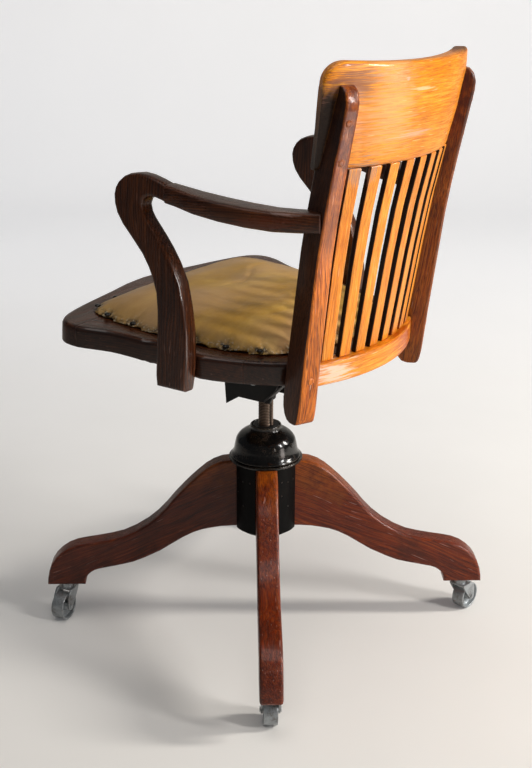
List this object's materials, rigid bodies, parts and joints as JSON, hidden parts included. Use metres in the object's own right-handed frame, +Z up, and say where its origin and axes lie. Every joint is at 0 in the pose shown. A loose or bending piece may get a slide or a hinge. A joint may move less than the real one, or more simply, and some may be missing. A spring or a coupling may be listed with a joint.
{
  "type": "bankers swivel chair",
  "caption": "Oak swivel armchair with a bent crest over upright slats, scrolled arms, a leather seat pad, a screw spindle in a dome hub and splayed legs on casters.",
  "frame": {"origin": "on the floor, under the spindle axis", "axes": "+Z up along the spindle axis; -Y to the front of the seat; +X to the sitter's left"},
  "size_m": [0.5714, 0.5714, 0.8722],
  "materials": {
    "leg_oak": "satin, worn varnish",
    "dark_oak": "satin, dark varnish",
    "warm_oak": "glossy warm varnish",
    "leather": "satin, worn",
    "plywood": "raw",
    "enamel": "gloss, worn",
    "cast_iron": "matte",
    "steel": "worn, slightly rusted",
    "spring_steel": "dark, oiled"
  },
  "bodies": {
    "base": {"leg_rear_left": "leg_oak", "leg_front_left": "leg_oak", "leg_front_right": "leg_oak", "leg_rear_right": "leg_oak", "hub_core": "cast_iron", "cover_plate_1": "enamel", "cover_plate_2": "enamel", "cover_plate_3": "enamel", "cover_plate_4": "enamel", "hub_flange": "enamel", "hub_bottom_cap": "cast_iron", "caster_socket_rear_left": "steel", "caster_socket_front_left": "steel", "caster_socket_front_right": "steel", "caster_socket_rear_right": "steel"},
    "fork_rear_left": {"caster_horn_rear_left": "steel", "caster_axle_rear_left": "steel"},
    "wheel_rear_left": {"caster_wheel_rear_left": "steel"},
    "fork_front_left": {"caster_horn_front_left": "steel", "caster_axle_front_left": "steel"},
    "wheel_front_left": {"caster_wheel_front_left": "steel"},
    "fork_front_right": {"caster_horn_front_right": "steel", "caster_axle_front_right": "steel"},
    "wheel_front_right": {"caster_wheel_front_right": "steel"},
    "fork_rear_right": {"caster_horn_rear_right": "steel", "caster_axle_rear_right": "steel"},
    "wheel_rear_right": {"caster_wheel_rear_right": "steel"},
    "hub": {"hub_dome": "enamel", "height_nut": "steel"},
    "collar": {"key_collar": "enamel"},
    "screw": {"spindle": "steel", "tilt_yoke": "cast_iron", "pivot_pin": "steel", "tilt_spring": "spring_steel"},
    "chair": {"seat_iron": "cast_iron", "seat_rail_front": "dark_oak", "seat_rail_back": "dark_oak", "seat_rail_left": "dark_oak", "seat_rail_right": "dark_oak", "seat_panel": "plywood", "seat_pad": "leather", "arm_post_left": "dark_oak", "arm_post_right": "dark_oak", "back_post_left": "warm_oak", "back_post_right": "warm_oak", "arm_rail_left": "dark_oak", "arm_rail_right": "dark_oak", "crest": "warm_oak", "low_rail": "warm_oak", "slat_1": "warm_oak", "slat_2": "warm_oak", "slat_3": "warm_oak", "slat_4": "warm_oak", "slat_5": "warm_oak", "slat_6": "warm_oak", "slat_7": "warm_oak", "slat_8": "warm_oak"}
  },
  "joints": [
    {"name": "caster_swivel_rear_left", "type": "hinge", "parent": "base", "child": "fork_rear_left", "pos_m": [0.25432, 0.18074, 0.058], "axis": [0, 0, 1], "continuous": true},
    {"name": "caster_roll_rear_left", "type": "hinge", "parent": "fork_rear_left", "child": "wheel_rear_left", "pos_m": [0.24203, 0.17213, 0.0215], "axis": [0.5736, -0.8192, 0], "continuous": true},
    {"name": "caster_swivel_front_left", "type": "hinge", "parent": "base", "child": "fork_front_left", "pos_m": [0.18074, -0.25432, 0.058], "axis": [0, 0, 1], "continuous": true},
    {"name": "caster_roll_front_left", "type": "hinge", "parent": "fork_front_left", "child": "wheel_front_left", "pos_m": [0.19541, -0.2512, 0.0215], "axis": [-0.2079, 0.9781, 0], "continuous": true},
    {"name": "caster_swivel_front_right", "type": "hinge", "parent": "base", "child": "fork_front_right", "pos_m": [-0.25432, -0.18074, 0.058], "axis": [0, 0, 1], "continuous": true},
    {"name": "caster_roll_front_right", "type": "hinge", "parent": "fork_front_right", "child": "wheel_front_right", "pos_m": [-0.25172, -0.16596, 0.0215], "axis": [-0.9848, 0.1736, 0], "continuous": true},
    {"name": "caster_swivel_rear_right", "type": "hinge", "parent": "base", "child": "fork_rear_right", "pos_m": [-0.18074, 0.25432, 0.058], "axis": [0, 0, 1], "continuous": true},
    {"name": "caster_roll_rear_right", "type": "hinge", "parent": "fork_rear_right", "child": "wheel_rear_right", "pos_m": [-0.19559, 0.25641, 0.0215], "axis": [-0.1392, -0.9903, 0], "continuous": true},
    {"name": "swivel", "type": "hinge", "parent": "base", "child": "hub", "pos_m": [0, 0, 0.2716], "axis": [0, 0, 1], "continuous": true},
    {"name": "height_screw", "type": "hinge", "parent": "hub", "child": "collar", "pos_m": [0, 0, 0.318], "axis": [0, 0, 1], "range_deg": [-3600, 7200]},
    {"name": "height", "type": "slide", "parent": "collar", "child": "screw", "axis": [0, 0, 1], "range_m": [-0.025, 0.05]},
    {"name": "tilt", "type": "hinge", "parent": "screw", "child": "chair", "pos_m": [0, 0, 0.402], "axis": [-1, 0, 0], "range_deg": [0, 12], "stiffness_Nm_per_rad": 180, "springref_deg": -8.59, "deforming": ["tilt_spring"]}
  ],
  "couplings": [
    {"joint": "height", "follows": "height_screw", "m_per_rad": 0.00039788}
  ]
}
